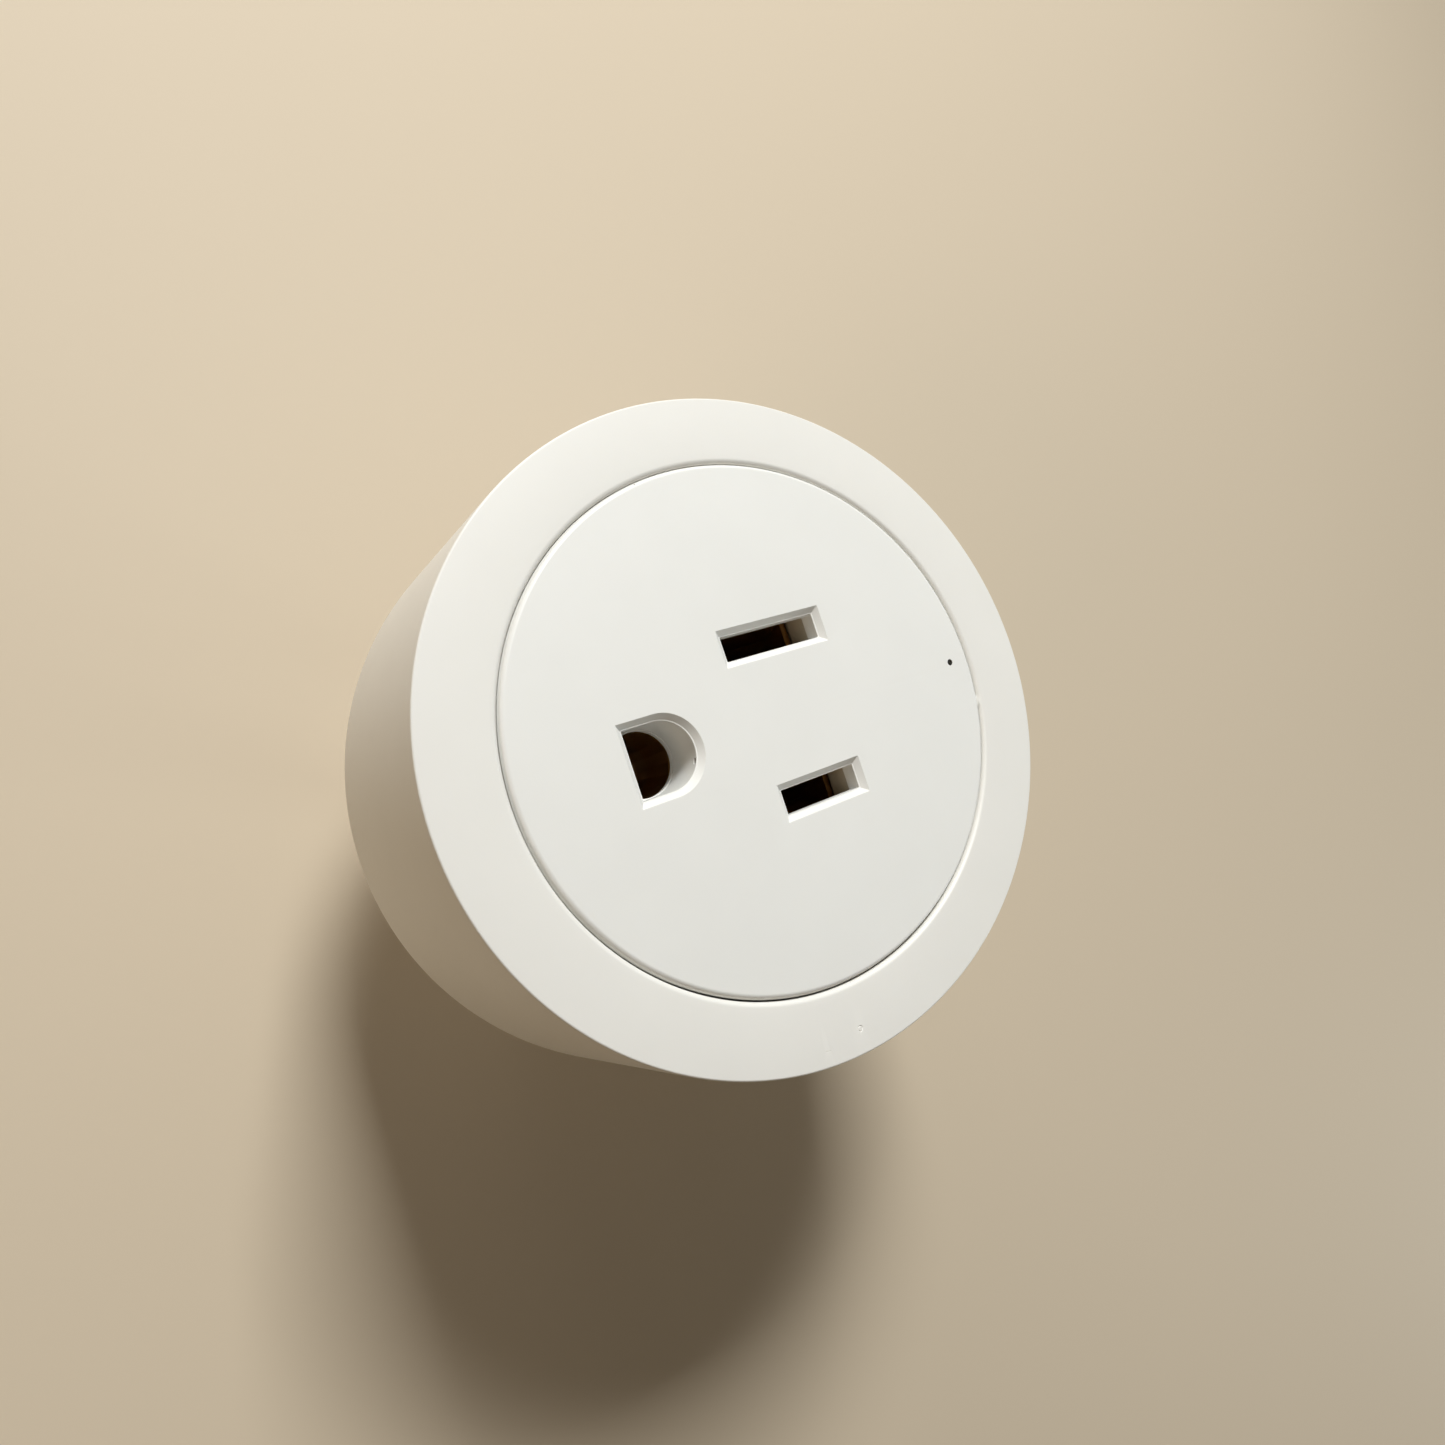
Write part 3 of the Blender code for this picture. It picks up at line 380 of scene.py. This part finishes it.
def soften(profile, corners, radius):
    """Rounds the corners at these places in a profile."""
    out = []
    count = len(profile)
    steps = 3
    for i, point in enumerate(profile):
        if i not in corners:
            out.append(point)
            continue
        here = Vector(point)
        before = Vector(profile[i - 1])
        after = Vector(profile[(i + 1) % count])
        one = here + (before - here).normalized() * radius
        two = here + (after - here).normalized() * radius
        for k in range(steps + 1):
            t = k / steps
            point = one * (1 - t) ** 2 + here * 2 * t * (1 - t) + two * t**2
            out.append((point.x, point.y))
    return out


def boolean(target, helper, operation):
    """Applies a Boolean at once and removes its helper."""
    step = target.modifiers.new("step", "BOOLEAN")
    step.operation = operation
    step.solver = "EXACT"
    step.object = helper
    graph = bpy.context.evaluated_depsgraph_get()
    old = target.data
    target.data = bpy.data.meshes.new_from_object(target.evaluated_get(graph))
    target.data.name = target.name
    target.modifiers.clear()
    bpy.data.meshes.remove(old)
    gone = helper.data
    bpy.data.objects.remove(helper, do_unlink=True)
    bpy.data.meshes.remove(gone)


def cut(target, cutter):
    boolean(target, cutter, "DIFFERENCE")


def unite(target, added):
    boolean(target, added, "UNION")


def finish_shading(mesh):
    """Smooth faces, with sharp edges wherever two of them meet at more than SHARP_ANGLE."""
    mesh.shade_smooth()
    mesh.set_sharp_from_angle(angle=math.radians(SHARP_ANGLE))


def round_edges(target, width, segments, angle):
    """A bevel on each edge sharper than the angle, in degrees."""
    soft = target.modifiers.new("soft_edge", "BEVEL")
    soft.width = width
    soft.segments = segments
    soft.limit_method = "ANGLE"
    soft.angle_limit = math.radians(angle)


def stand_for(piece, body, slot, *nodes):
    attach(piece, body)
    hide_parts(*nodes)


# ---------------------------------------------------------------- housing


def shell_radius_at(z):
    return SHELL_RADIUS - (FACE_Z - z) * math.tan(DRAFT)


def make_shell(look):
    """The cup with its rim, from the seam round the outside and the rear edge to the ledge inside."""
    rim_centre = (SHELL_RADIUS - RIM_FILLET, FACE_Z - RIM_FILLET)
    rear_centre = shell_radius_at(REAR_RADIUS) - REAR_RADIUS
    inner_radius = REAR_RADIUS - WALL
    inner_top = shell_radius_at(LEDGE_BOTTOM) - WALL
    seam_centre = (RIM_OPENING + SEAM_FILLET, FACE_Z - SEAM_FILLET)
    profile = [(RIM_OPENING, LEDGE_TOP), *arc(SEAM_FILLET, 180, 90, 12, seam_centre)]
    profile += [(RIM_OPENING + 1 * MM, FACE_Z)]
    profile += arc(RIM_FILLET, 90, 0, 6, rim_centre)
    profile += arc(REAR_RADIUS, 0, -90, 20, (rear_centre, REAR_RADIUS))
    profile += [(REAR_OPENING + REAR_CHAMFER, 0.0), (REAR_OPENING, REAR_CHAMFER), (REAR_OPENING, REAR_LIP)]
    profile += arc(inner_radius, -90, 0, 8, (rear_centre, REAR_LIP + inner_radius))
    profile += [(inner_top, LEDGE_BOTTOM), (LEDGE_RADIUS, LEDGE_BOTTOM), (LEDGE_RADIUS, LEDGE_TOP)]
    shell = turned("shell", profile, look)
    width, height = (size + 2 * BUTTON_CLEARANCE for size in BUTTON_SIZE)
    outline = stadium(width, height, 24, (0.0, BUTTON_Z))
    cut(shell, along_y("hole", [(20 * MM, outline), (30 * MM, outline)], look))
    rim_mark = (24.5 * MM, -1.35 * MM, FACE_Z)
    rim_nick = (24.8 * MM, -4.6 * MM, FACE_Z)
    ring_mark(shell, rim_mark, 0.2 * MM, look)
    nick(shell, rim_nick, (0.45 * MM, 0.07 * MM, 0.08 * MM), 80, look)
    finish_shading(shell.data)
    stand_for(shell, "plug", "white_plastic", "outer_shell")


def opening_cutter(inside, outside, bottom, look):
    """The cutter for an opening whose chamfer ends in a small ledge at its foot."""

    def between(t):
        return [(a[0] + (b[0] - a[0]) * t, a[1] + (b[1] - a[1]) * t) for a, b in zip(inside, outside)]

    floor = FACE_Z - OPENING_CHAMFER
    rings = [
        at_height(inside, bottom),
        at_height(inside, floor - 0.05 * MM),
        at_height(between(0.06), floor),
        at_height(between(0.2), floor + 0.01 * MM),
        at_height(between(0.3), floor + 0.06 * MM),
        at_height(between(0.92), FACE_Z - 0.06 * MM),
        at_height(between(1.04), FACE_Z),
        at_height(between(1.04), FACE_Z + 1 * MM),
    ]
    return loft("opening", rings, look)


def nick(target, spot, size, turn, look):
    """Cuts a small blemish: size is along, across and up, and turn is its angle about Z in degrees."""
    length, width, height = size
    cutter = prism("nick", stadium(length, width, 6), -height / 2, height / 2, look)
    cutter.data.transform(Matrix.Translation(spot) @ Matrix.Rotation(math.radians(turn), 4, "Z"))
    cut(target, cutter)


def ring_mark(target, spot, radius, look):
    """Cuts the faint round witness mark that an ejector or gate leaves."""
    profile = circle(0.06 * MM, 8, (radius, 0.0))
    cutter = turned("ring", profile, look, 32)
    cutter.data.transform(Matrix.Translation(spot))
    cut(target, cutter)


def flash_bead(angle, reach, look):
    """A sliver of flash that bridges the seam, thickest in its middle."""
    rings = []
    steps = 12
    for i in range(steps + 1):
        a = math.radians(angle + reach * (2 * i / steps - 1))
        swell = 0.03 * MM + 0.2 * MM * math.sin(math.pi * i / steps)
        low = FACE_Z - 0.5 * MM
        section = [(-swell, low), (swell * 0.6, low), (swell, low + 1.2 * swell), (0.0, low + 2.1 * swell)]
        centre = RIM_OPENING - 0.02 * MM
        rings.append([((centre + r) * math.cos(a), (centre + r) * math.sin(a), z) for r, z in section])
    return loft("flash", rings, look)


def snap_hook(angle, look):
    """One of the hooks that hold the cover under the shell's ledge."""
    hook = [
        (19.2 * MM, COVER_RIM_UNDERSIDE + 0.3 * MM),
        (19.2 * MM, 21.4 * MM),
        (19.9 * MM, 21.4 * MM),
        (20.75 * MM, 22.3 * MM),
        (20.75 * MM, LEDGE_BOTTOM - GAP),
        (20.0 * MM, LEDGE_BOTTOM - GAP),
        (20.0 * MM, COVER_RIM_UNDERSIDE + 0.3 * MM),
    ]
    made = along_y("hook", [(y, hook) for y in (-HOOK_HALF_WIDTH, HOOK_HALF_WIDTH)], look)
    made.data.transform(Matrix.Rotation(math.radians(angle), 4, "Z"))
    return made


def make_slots(face, look):
    grow = 2 * OPENING_CHAMFER
    for x, (width, height) in ((-BLADE_X, NEUTRAL_SLOT), (BLADE_X, LINE_SLOT)):
        inside = blade_slot(width, height, x)
        outside = blade_slot(width + grow, height + grow, x)
        cut(face, opening_cutter(inside, outside, COVER_UNDERSIDE - 1 * MM, look))


def make_ground_hole(face, look):
    inside = ground_outline(GROUND_HOLE_RADIUS, GROUND_HOLE_FLAT)
    outside = ground_outline(GROUND_HOLE_RADIUS + OPENING_CHAMFER, GROUND_HOLE_FLAT + OPENING_CHAMFER)
    cut(face, opening_cutter(inside, outside, GROUND_WELL_FLOOR, look))
    pin_hole = circle(PIN_HOLE_RADIUS, 80, (0.0, GROUND_Y))
    cut(face, prism("pin_hole", pin_hole, 21 * MM, GROUND_WELL_FLOOR + 0.1 * MM, look))


def make_pinhole(face, look):
    """The indicator's pinhole, which widens behind the face, and the recess that takes the light pipe."""
    led = (0.0, LED_Y)
    pinhole = [
        at_height(circle(PINHOLE_FLARE, 24, led), LIGHT_RECESS_TOP - 0.2 * MM),
        at_height(circle(PINHOLE_RADIUS, 24, led), FACE_Z - 0.08 * MM),
        at_height(circle(PINHOLE_RADIUS, 24, led), FACE_Z + 1 * MM),
    ]
    cut(face, loft("pinhole", pinhole, look))
    cut(face, prism("recess", circle(LIGHT_RECESS_RADIUS, 32, led), 23 * MM, LIGHT_RECESS_TOP, look))


def make_face(look):
    """The socket disc, with its well, hooks, openings and moulding marks."""
    profile = [
        (0.0, FACE_Z),
        (0.0, COVER_UNDERSIDE),
        (COVER_RIM_INNER, COVER_UNDERSIDE),
        (COVER_RIM_INNER, COVER_RIM_UNDERSIDE),
        (COVER_RADIUS, COVER_RIM_UNDERSIDE),
        (COVER_RADIUS, FACE_Z - COVER_EDGE),
    ]
    profile += arc(COVER_FILLET, 10, 90, 8, (COVER_RADIUS - COVER_EDGE, FACE_Z - COVER_FILLET))
    face = turned("socket_face", profile, look)
    face.data.transform(Matrix.Translation((*COVER_SHIFT, 0.0)))
    wall = ground_outline(GROUND_HOLE_RADIUS + GROUND_WELL_WALL, GROUND_HOLE_FLAT + GROUND_WELL_WALL)
    unite(face, prism("well", wall, GROUND_WELL_BOTTOM, COVER_UNDERSIDE + 0.5 * MM, look))
    for angle in HOOK_ANGLES:
        unite(face, snap_hook(angle, look))
    make_slots(face, look)
    make_ground_hole(face, look)
    make_pinhole(face, look)
    disc_mark = (-20.3 * MM, -5.0 * MM, FACE_Z - 0.1 * MM)
    well_notch = (1.1 * MM, GROUND_Y + 2.65 * MM, FACE_Z - 0.78 * MM)
    well_groove = (1.25 * MM, GROUND_Y + 2.95 * MM, FACE_Z - 2.0 * MM)
    nick(face, disc_mark, (0.35 * MM, 0.12 * MM, 0.3 * MM), 20, look)
    nick(face, well_notch, (0.9 * MM, 0.48 * MM, 0.4 * MM), 68, look)
    nick(face, well_groove, (0.7 * MM, 0.6 * MM, 2.6 * MM), 68, look)
    unite(face, flash_bead(78.5, 2.1, look))
    finish_shading(face.data)
    stand_for(face, "plug", "face_plastic", "front_cover")


def make_back(look):
    """The plate on the outlet side, with the prongs' holes and the screws' bosses."""
    lip = REAR_LIP + GAP
    plate = REAR_OPENING - 0.2 * MM
    profile = [
        (0.0, REAR_COVER_TOP),
        (0.0, 0.0),
        (plate - REAR_CHAMFER, 0.0),
        (plate, REAR_CHAMFER),
        (plate, lip),
        (REAR_COVER_RADIUS, lip),
        (REAR_COVER_RADIUS, REAR_COVER_TOP),
    ]
    back = turned("back_plate", soften(profile, (2, 3), EDGE_SOFTNESS), look)
    for y in SCREW_Y:
        unite(back, prism("boss", circle(BOSS_RADIUS, 40, (0.0, y)), 2.5 * MM, BOSS_TOP, look))
        cut(back, prism("pilot", circle(PILOT_RADIUS, 32, (0.0, y)), PILOT_BOTTOM, 8 * MM, look))
    for x in (-BLADE_X, BLADE_X):
        outline = blade_slot(BLADE_THICKNESS + GAP, BLADE_WIDTH + GAP, x)
        cut(back, prism("blade_hole", outline, -1 * MM, 5 * MM, look))
    cut(back, prism("pin_hole", circle(PIN_RADIUS + GAP / 2, 64, (0.0, GROUND_Y)), -1 * MM, 5 * MM, look))
    finish_shading(back.data)
    stand_for(back, "plug", "rear_plastic", "rear_cover")


def make_button(look):
    """The side button. Its crown follows the shell's curve and its edge is softly rounded."""
    centre = (0.0, BUTTON_Z)
    outline = stadium(*BUTTON_SIZE, 24, centre)
    crown = along_y("button", [(22.6 * MM, outline), (28 * MM, outline)], look)
    flange = stadium(*BUTTON_FLANGE, 24, centre)
    unite(crown, along_y("flange", [(22.4 * MM, flange), (23.4 * MM, flange)], look))
    stem = circle(BUTTON_STEM_RADIUS, 32, centre)
    unite(crown, along_y("stem", [(20.6 * MM, stem), (22.8 * MM, stem)], look))
    low, high, radius = 5 * MM, 24 * MM, BUTTON_FACE_RADIUS
    keep = turned("keep", [(0.0, low), (0.0, high), (radius, high), (radius, low)], look)
    boolean(crown, keep, "INTERSECT")
    finish_shading(crown.data)
    round_edges(crown, 0.15 * MM, 3, 50)
    stand_for(crown, "button", "button_plastic", "button_cap")


# ---------------------------------------------------------------- prongs


def make_blade(name, node, x, look):
    """A flat blade with a chamfered tip, a hole, a shoulder over the rear cover and a solder tab."""
    half = BLADE_WIDTH / 2
    tip = -BLADE_LENGTH
    shoulder_top = 5.4 * MM
    side = [
        (half - 1.2 * MM, tip),
        (half, tip + 2 * MM),
        (half, SHOULDER_Z),
        (4.4 * MM, SHOULDER_Z),
        (4.4 * MM, shoulder_top),
        (1.8 * MM, shoulder_top),
        (1.8 * MM, 8.4 * MM),
    ]
    outline = [(-half + 1.2 * MM, tip), *side, *[(-y, z) for y, z in side[:0:-1]]]
    t = BLADE_THICKNESS / 2
    made = loft(name, [[(x + s, BLADE_Y + y, z) for y, z in outline] for s in (-t, t)], look)
    ring = circle(BLADE_HOLE_RADIUS, 40, (BLADE_Y, BLADE_HOLE_Z))
    cut(made, loft("drill", [[(x + s, y, z) for y, z in ring] for s in (-2 * t, 2 * t)], look))
    finish_shading(made.data)
    round_edges(made, 0.18 * MM, 2, 40)
    stand_for(made, "plug", "nickel_plate", node)


def make_pin(look):
    """The round ground pin, with a domed tip, a collar over the rear cover and a stub."""
    profile = arc(PIN_RADIUS, -90, 0, 14, (0.0, PIN_RADIUS - PIN_LENGTH))
    profile[0] = (0.0, -PIN_LENGTH)
    collar_top = 4.8 * MM
    stub_top = 8.2 * MM
    profile += [
        (PIN_RADIUS, SHOULDER_Z),
        (PIN_COLLAR_RADIUS, SHOULDER_Z),
        (PIN_COLLAR_RADIUS, collar_top),
        (PIN_STUB_RADIUS, collar_top),
        (PIN_STUB_RADIUS, stub_top),
        (0.0, stub_top),
    ]
    made = turned("ground_prong", profile, look, 64)
    made.data.transform(Matrix.Translation((0.0, GROUND_Y, 0.0)))
    stand_for(made, "plug", "nickel_plate", "ground_pin")


# ---------------------------------------------------------------- CAD nodes that stay


def dress(looks):
    """Gives every CAD node that stays its finish, by its material slot."""
    for entry in frame["record"]["subparts"]:
        node = frame["nodes"].get(entry["node"])
        look = looks.get(entry["material_slot"])
        if node is None or look is None:
            continue
        node.data.materials.clear()
        node.data.materials.append(look)


# ---------------------------------------------------------------- stage


def make_floor():
    """A plain pale floor, which shows only from above."""
    made = Nodes("floor")
    made.feed("Base Color", made.blend_colours(made.noise(6.0, 3.0), (0.60, 0.50, 0.37), (0.62, 0.52, 0.39)))
    made.shader.inputs["Roughness"].default_value = 0.7
    geometry = made.add("ShaderNodeNewGeometry")
    seen_through = made.add("ShaderNodeBsdfTransparent")
    choose = made.add("ShaderNodeMixShader")
    output = made.tree.nodes["Material Output"]
    made.link(geometry.outputs["Backfacing"], choose.inputs["Fac"])
    made.link(made.shader.outputs["BSDF"], choose.inputs[1])
    made.link(seen_through.outputs["BSDF"], choose.inputs[2])
    made.link(choose.outputs["Shader"], output.inputs["Surface"])
    bm = bmesh.new()
    bmesh.ops.create_grid(bm, x_segments=8, y_segments=8, size=FLOOR_HALF_SIZE)
    mesh = bpy.data.meshes.new("floor")
    bm.to_mesh(mesh)
    bm.free()
    mesh.materials.append(made.material)
    floor = bpy.data.objects.new("floor", mesh)
    floor.location.z = FLOOR_Z
    bpy.context.scene.collection.objects.link(floor)


def area_light(name, azimuth, elevation, distance, size, power, colour):
    """A square light that faces the plug. The azimuth is counted from +X, and both angles are in degrees."""
    a, e = math.radians(azimuth), math.radians(elevation)
    towards = Vector((math.cos(e) * math.cos(a), math.cos(e) * math.sin(a), math.sin(e)))
    data = bpy.data.lights.new(name, "AREA")
    data.shape = "SQUARE"
    data.size = size
    data.energy = power
    data.color = colour
    made = bpy.data.objects.new(name, data)
    made.location = LIGHTS_AIM + towards * distance
    made.rotation_euler = towards.to_track_quat("Z", "Y").to_euler()
    bpy.context.scene.collection.objects.link(made)


def make_world():
    """A dim warm surrounding, which fills the shadows."""
    world = bpy.data.worlds.new("studio")
    world.use_nodes = True
    background = world.node_tree.nodes["Background"]
    background.inputs["Color"].default_value = (1.0, 0.88, 0.69, 1.0)
    background.inputs["Strength"].default_value = 0.07
    bpy.context.scene.world = world


def make_camera():
    """The photograph's camera, solved from the plug's outlines. The shifts stand for an off-centre crop."""
    data = bpy.data.cameras.new("camera")
    data.sensor_fit = "HORIZONTAL"
    data.sensor_width = 36.0
    data.lens = 28.85
    data.shift_x = -0.1443
    data.shift_y = -0.0493
    data.clip_start = 0.005
    made = bpy.data.objects.new("camera", data)
    made.location = (0.88 * MM, -46.6 * MM, 105.2 * MM)
    made.rotation_euler = tuple(math.radians(angle) for angle in (15.7475, -36.3822, 66.6462))
    bpy.context.scene.collection.objects.link(made)
    bpy.context.scene.camera = made


def make_object():
    """The pieces that replace CAD nodes, and the finishes of the CAD nodes that stay."""
    white = plastic("white_plastic", (0.83, 0.81, 0.76), 0.42, depth=0.06)
    face = plastic("face_plastic", (0.83, 0.82, 0.78), 0.42, depth=0.06)
    nickel = metal("nickel", (0.74, 0.72, 0.67), 0.24)
    make_shell(white)
    make_face(face)
    make_back(plastic("rear_plastic", (0.80, 0.79, 0.76), 0.45))
    make_button(plastic("button_plastic", (0.83, 0.82, 0.79), 0.36))
    make_blade("neutral_prong", "neutral_blade", -BLADE_X, nickel)
    make_blade("line_prong", "line_blade", BLADE_X, nickel)
    make_pin(nickel)
    dress({
        "brass": metal("brass", (0.66, 0.38, 0.14), 0.34),
        "zinc_steel": metal("zinc_steel", (0.62, 0.63, 0.65), 0.33),
        "insulator": plastic("insulator", (0.58, 0.51, 0.40), 0.6),
        "circuit_board": circuit_board("circuit_board"),
        "black_plastic": plastic("black_plastic", (0.03, 0.03, 0.032), 0.45),
        "capacitor_sleeve": plastic("capacitor_sleeve", (0.05, 0.06, 0.10), 0.3),
        "film_case": plastic("film_case", (0.68, 0.52, 0.14), 0.4),
        "varistor_coat": plastic("varistor_coat", (0.08, 0.18, 0.45), 0.3),
        "resistor_body": plastic("resistor_body", (0.40, 0.48, 0.38), 0.5),
        "tinned_steel": metal("tinned_steel", (0.70, 0.71, 0.72), 0.3),
        "clear_plastic": clear("clear_plastic"),
        "plunger_plastic": plastic("plunger_plastic", (0.75, 0.75, 0.72), 0.4),
        "relay_case_plastic": plastic("relay_case_plastic", (0.03, 0.08, 0.26), 0.32),
        "relay_base_plastic": plastic("relay_base_plastic", (0.05, 0.05, 0.05), 0.5),
        "bobbin_plastic": plastic("bobbin_plastic", (0.55, 0.53, 0.48), 0.5),
        "copper_winding": winding("copper_winding", (0.62, 0.27, 0.10)),
        "relay_iron": metal("relay_iron", (0.55, 0.55, 0.56), 0.38),
        "contact_alloy": metal("contact_alloy", (0.80, 0.62, 0.42), 0.28),
    })


def main():
    make_camera()
    make_floor()
    make_world()
    area_light("key", 173, 49, 0.62, 0.16, 4.25, (0.966, 0.993, 1.0))
    area_light("window", 187, 20, 0.5, 0.2, 0.38, (1.0, 0.95, 0.87))
    area_light("side_fill", 55, 7, 0.6, 0.17, 1.0, (0.93, 1.0, 1.0))
    area_light("warm_card", 285, 28, 0.6, 0.15, 0.22, (1.0, 0.62, 0.30))
    bpy.context.scene.view_settings.view_transform = "Standard"
    make_object()


main()
